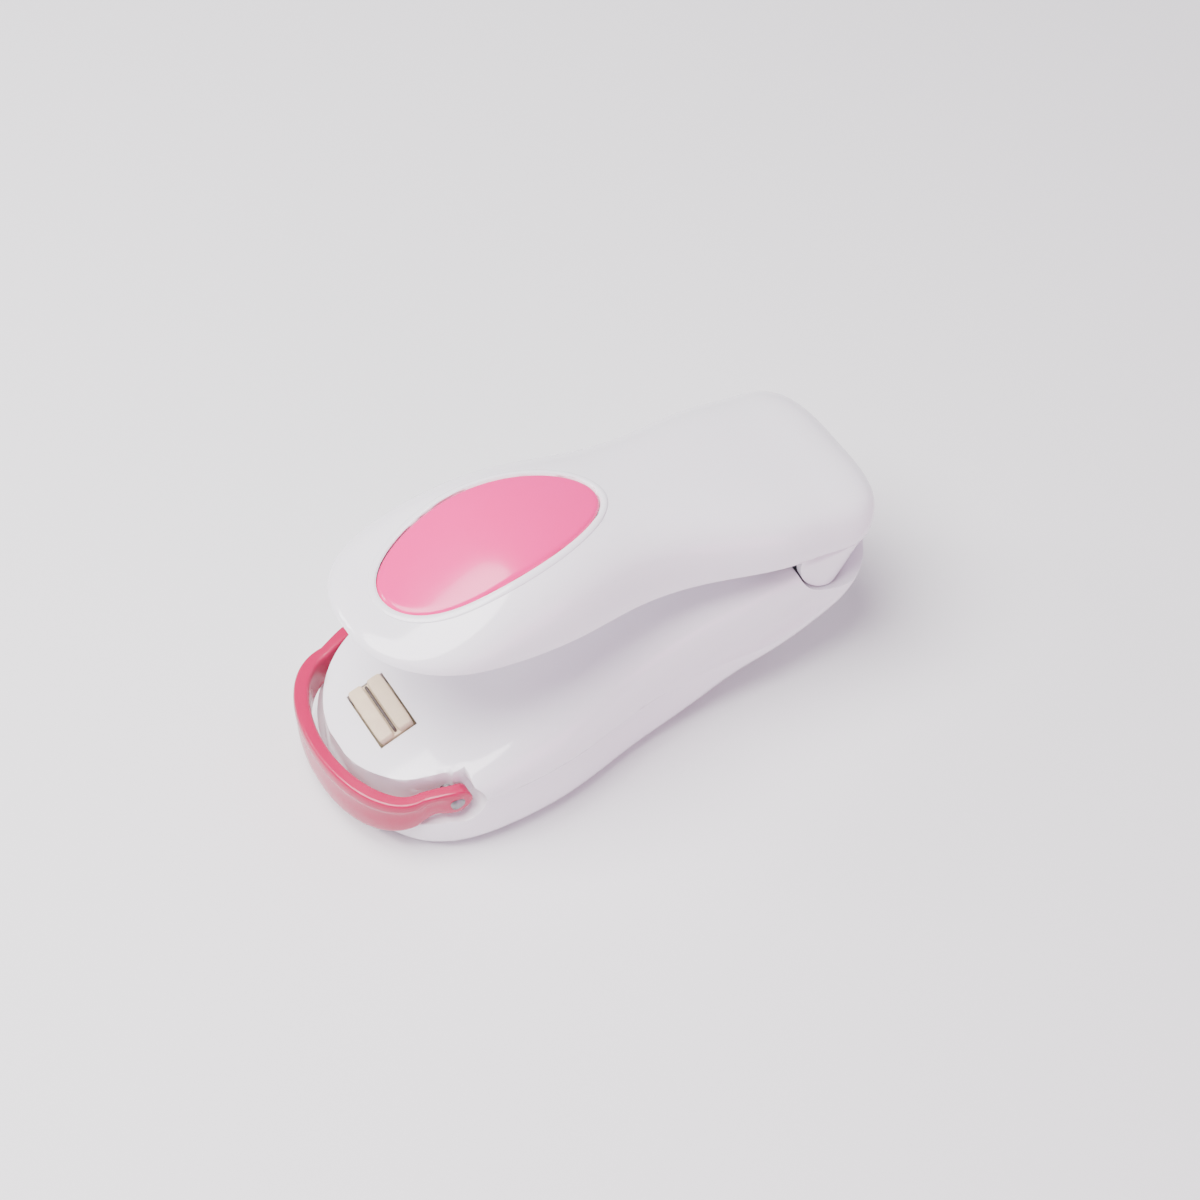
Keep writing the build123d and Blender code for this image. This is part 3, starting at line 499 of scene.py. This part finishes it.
class SEALER_OT_lock_bail(bpy.types.Operator):
    """Lock bail: a rounded band carried round the nose, with two lines along its face"""
    bl_idname = "sealer.lock_bail"
    bl_label = "Lock bail"

    def execute(self, context):
        size = sizes()
        # millimetres: stations of the kink, the pivot and the arms' round ends, then the inner
        # half width at the kink, the band's thickness and the spread of the arms
        kink, pivot, arm_end = 11.5, 16.4, 18.95
        bow_turns = np.linspace(0, np.pi, 121)
        inset = size.bail_inset / MM

        def bow(half, depth, power):
            return (kink - depth * np.abs(np.sin(bow_turns)) ** (2 / power),
                    half * power_cos(bow_turns, power))
        inner_half, band, flare = 15.7, 2.5, 1.7
        ledge, ledge_slope, arm_low, arm_half = 3.7, np.tan(np.radians(17)), 9.4, 2.6
        bow_top, arm_rise, pivot_height = 13.6, 1.0, 12
        inner_x, inner_y = bow(inner_half, 8.15, 1.9)
        outer_bow, outer_y = bow(inner_half + band, 11.5 - inset, 2.1)
        # arms: straight from the kink, spreading by the flare until the pivot
        reach = np.linspace(arm_end, kink, 26)[:-1]
        spread = inner_half + flare * np.clip((reach - kink) / (pivot - kink), 0, 1)
        inner_x = np.concatenate([reach, inner_x, reach[::-1]])
        outer_x = inner_x.copy()
        outer_x[25:-25] = outer_bow
        inner_y = np.concatenate([spread, inner_y, -spread[::-1]])
        outer_y = np.concatenate([spread + band, outer_y, -(spread + band)[::-1]])
        station = inner_x
        # edges: the lower edge follows the ledge and eases into the arm, whose end is round
        low = ledge + outer_x * ledge_slope
        blend = smooth_step((station - kink + 1) / (pivot - kink - 1))
        low = np.where(station > kink - 1, low * (1 - blend) + arm_low * blend, low)
        high = bow_top + arm_rise * smooth_step((station - kink + 3) / (pivot - kink + 3))
        past = np.clip((station - pivot) / arm_half, 0, 0.995)
        round_off = np.sqrt(1 - past ** 2)
        middle, half_high = (low + high) / 2, (high - low) / 2
        middle = middle + (pivot_height - middle) * (past > 0)
        half_high = np.where(past > 0, arm_half * round_off, half_high)
        # section: a superellipse, with its outer face drawn in towards the lower edge and two
        # shallow grooves along it
        turns = np.linspace(0, 2 * np.pi, 72, endpoint=False)
        side, rise = power_cos(turns, 5.0), power_cos(turns - np.pi / 2, 5.0)
        outward = (1 + side) / 2
        lean = size.bail_draft / MM * (1 - rise) / 2
        groove = np.exp(-((rise - 0.42) / 0.085) ** 2) + np.exp(-((rise + 0.12) / 0.085) ** 2)
        fade = smooth_step((pivot - 1.0 - station) / 3)[:, None]
        cut = (lean * 0.9)[None] * fade + size.bail_groove / MM * groove[None] * fade
        direction = np.stack([outer_x - inner_x, outer_y - inner_y], axis=-1)
        thickness = np.linalg.norm(direction, axis=-1)
        direction /= thickness[:, None]
        reach_out = outward[None] * thickness[:, None] - cut * (side > 0)[None] * outward[None]
        grid = np.empty((len(station), len(turns), 3))
        grid[..., 0] = inner_x[:, None] + direction[:, :1] * reach_out
        grid[..., 1] = inner_y[:, None] + direction[:, 1:] * reach_out
        grid[..., 2] = middle[:, None] + half_high[:, None] * rise[None]
        grid = grid * MM + np.array([FRONT, 0, 0])
        bail = loops_mesh("lock_bail_band", grid, 60)
        finish_piece(bail, "bail", "rose_abs", bail_rose(), "lock_bail")
        return {"FINISHED"}


def heater_axes():
    """Directions of the heater block: across the slot, along it and out of the nose."""
    out = HEATER_AXIS / np.linalg.norm(HEATER_AXIS)
    along = np.array([0.0, 1.0, 0.0])
    return np.cross(along, out), along, out


def rounded_block(name, centre, axes, half, top, bottom, edge, steps=6):
    """Block with rounded upright corners and rounded top and bottom edges: a superellipse outline,
    drawn in by a quarter circle near both ends."""
    turns = np.linspace(0, 2 * np.pi, 64, endpoint=False)
    arc = np.linspace(0, np.pi / 2, steps)
    levels = [(bottom + edge * (1 - np.sin(a)), edge * (1 - np.cos(a))) for a in arc[::-1]]
    levels += [(top - edge * (1 - np.sin(a)), edge * (1 - np.cos(a))) for a in arc]
    loops = []
    for level, inset in levels:
        outline_u = (half[0] - inset) * power_cos(turns, 9)
        outline_v = (half[1] - inset) * power_cos(turns - np.pi / 2, 9)
        loops.append(centre + outline_u[:, None] * axes[0] + outline_v[:, None] * axes[1]
                     + level * axes[2])
    return loops_mesh(name, np.array(loops), 50)


class SEALER_OT_heater(bpy.types.Operator):
    """Heater: two cream strips on a foot, with the hot wire in the slot between them"""
    bl_idname = "sealer.heater"
    bl_label = "Heater"

    def execute(self, context):
        axes = heater_axes()
        top = np.array(HEATER_TOP) * MM
        strip, depth, width = HEATER_STRIP / 2 * MM, HEATER_DEPTH / 2 * MM, HEATER_WIDTH / 2 * MM
        lip = HEATER_LIP * MM
        for side, name in ((-1, "heater_strip_front"), (1, "heater_strip_back")):
            centre = top + axes[0] * side * (depth - strip)
            piece = rounded_block(name, centre, axes, (strip, width), 0, -2.0 * MM, 0.35 * MM)
            finish_piece(piece, "heater", "cream_plastic", heater_cream())
        foot = rounded_block("heater_foot", top, axes, (depth, width), -1.1 * MM, -7.5 * MM,
                             0.2 * MM)
        finish_piece(foot, "heater", "cream_plastic", heater_cream(), "heater_block")
        flange = rounded_block("heater_flange", top, axes, (depth + lip, width + lip),
                               -4.75 * MM, -5.95 * MM, 0.2 * MM)
        finish_piece(flange, "heater", "cream_plastic", heater_cream())
        return {"FINISHED"}


class SEALER_OT_metalwork(bpy.types.Operator):
    """Finishes of the pins, springs, wires, contacts, screws and cells"""
    bl_idname = "sealer.metalwork"
    bl_label = "Metalwork and cells"

    def execute(self, context):
        parts = (("hinge_pin", "lever", "steel", bright_steel()),
                 # bail pins: steel darkened partly by painted shade of the pivot recess
                 ("bail_pins", "body", "steel", pin_steel_painted_shade()),
                 ("body_screws", "body", "steel", bright_steel()),
                 ("lever_screws", "lever", "steel", bright_steel()),
                 ("lever_spring", "body", "spring_steel", spring_steel()),
                 ("heater_springs", "body", "spring_steel", spring_steel()),
                 ("heater_wire", "heater", "hot_wire", hot_wire()),
                 ("switch_blade_moving", "heater", "contact_metal", nickel()),
                 ("switch_blade_fixed", "body", "contact_metal", nickel()),
                 ("contact_plate", "body", "contact_metal", nickel()),
                 ("contact_spring", "body", "contact_metal", nickel()),
                 ("bridge_contact", "body", "contact_metal", nickel()),
                 ("press_pad", "lever", "silicone", silicone()),
                 ("heater_leads", "body", "lead_cover", lead_red()),
                 ("battery_left", "body", "cell_case", cell_case()),
                 ("battery_right", "body", "cell_case", cell_case()))
        for node, body, slot, material in parts:
            smooth_skin(node, node + "_smooth", body, slot, material, 0)
        return {"FINISHED"}


class SEALER_OT_studio(bpy.types.Operator):
    """Pale floor, soft lights and the camera"""
    bl_idname = "sealer.studio"
    bl_label = "Studio"

    def execute(self, context):
        scene = context.scene
        floor_points = np.array([[-1.5, -1.5, 0], [1.5, -1.5, 0], [1.5, 1.5, 0], [-1.5, 1.5, 0]])
        floor = add_mesh("floor", floor_points - np.array([0, 0, 0.0002]), [[0, 1, 2, 3]])
        floor.data.materials.append(plastic("pale floor", (0.86, 0.86, 0.87), (0.84, 0.84, 0.85),
                                            gloss=(0.55, 0.65), drift=6, peel=(200, 0.02)))
        world = bpy.data.worlds.new("soft studio")
        scene.world = world
        world.use_nodes = True
        world.node_tree.nodes["Background"].inputs["Color"].default_value = (0.95, 0.86, 1.0, 1)
        world.node_tree.nodes["Background"].inputs["Strength"].default_value = 0.62
        for name, place, width, power, tint in (
                ("key", (-0.24, 0.04, 0.60), 0.50, 10.5, (1.0, 0.99, 0.98)),
                ("near fill", (0.10, -0.60, 0.16), 0.45, 1.6, (1.0, 0.40, 0.74)),
                ("highlight", (-0.42, 0.34, 0.34), 0.12, 0.8, (1.0, 0.97, 0.99))):
            data = bpy.data.lights.new(name, "AREA")
            data.shape = "DISK"
            data.size = width
            data.energy = power
            data.color = tint
            lamp = bpy.data.objects.new(name, data)
            scene.collection.objects.link(lamp)
            lamp.location = place
            lamp.rotation_mode = "QUATERNION"
            aim = Vector((0, 0, 0.02)) - Vector(place)
            lamp.rotation_quaternion = aim.to_track_quat("-Z", "Y")
        place_camera(scene)
        return {"FINISHED"}


def place_camera(scene):
    """Camera with its axis tilted and rolled, aimed at a point in the middle of the body."""
    azimuth, elevation, roll = np.radians((-33.267, 50.353, 2.900))
    distance, aim = 0.40973, np.array([-0.00075, 0, 0.018])
    back = np.array([np.sin(azimuth) * np.cos(elevation), -np.cos(azimuth) * np.cos(elevation),
                     np.sin(elevation)])
    right = np.array([np.cos(azimuth), np.sin(azimuth), 0])
    up = np.cross(back, right)
    c, s = np.cos(roll), np.sin(roll)
    right, up = c * right + s * up, -s * right + c * up
    lens = bpy.data.cameras.new("camera")
    lens.sensor_width = 36
    lens.lens = 74.14
    lens.shift_x, lens.shift_y = 0.02168, 0.01411
    lens.clip_start, lens.clip_end = 0.01, 10
    camera = bpy.data.objects.new("camera", lens)
    scene.collection.objects.link(camera)
    frame_of_camera = np.eye(4)
    frame_of_camera[:3, :3] = np.stack([right, up, back], axis=1)
    frame_of_camera[:3, 3] = aim + distance * back
    camera.matrix_world = Matrix(frame_of_camera.tolist())
    scene.camera = camera


class SEALER_PT_panel(bpy.types.Panel):
    """Sizes, finishes and pieces of the sealer"""
    bl_idname = "SEALER_PT_panel"
    bl_label = "Bag heat sealer"
    bl_space_type = "VIEW_3D"
    bl_region_type = "UI"
    bl_category = "Sealer"

    def draw(self, context):
        for settings in (context.scene.sealer_sizes, context.scene.sealer_finishes):
            column = self.layout.column()
            for label in settings.__annotations__:
                column.prop(settings, label)
        for operator in OPERATORS:
            self.layout.operator(operator.bl_idname)


OPERATORS = (SEALER_OT_shells, SEALER_OT_thumb_pad, SEALER_OT_lock_bail, SEALER_OT_heater,
             SEALER_OT_metalwork, SEALER_OT_studio)
CLASSES = (SealerFinishes, SealerSizes, SEALER_PT_panel) + OPERATORS


def register():
    for item in CLASSES:
        bpy.utils.register_class(item)
    bpy.types.Scene.sealer_finishes = PointerProperty(type=SealerFinishes)
    bpy.types.Scene.sealer_sizes = PointerProperty(type=SealerSizes)


def unregister():
    del bpy.types.Scene.sealer_sizes
    del bpy.types.Scene.sealer_finishes
    for item in reversed(CLASSES):
        bpy.utils.unregister_class(item)


def main():
    register()
    bpy.ops.sealer.shells()
    bpy.ops.sealer.thumb_pad()
    bpy.ops.sealer.lock_bail()
    bpy.ops.sealer.heater()
    bpy.ops.sealer.metalwork()
    bpy.ops.sealer.studio()


if __name__ == "__main__":
    main()
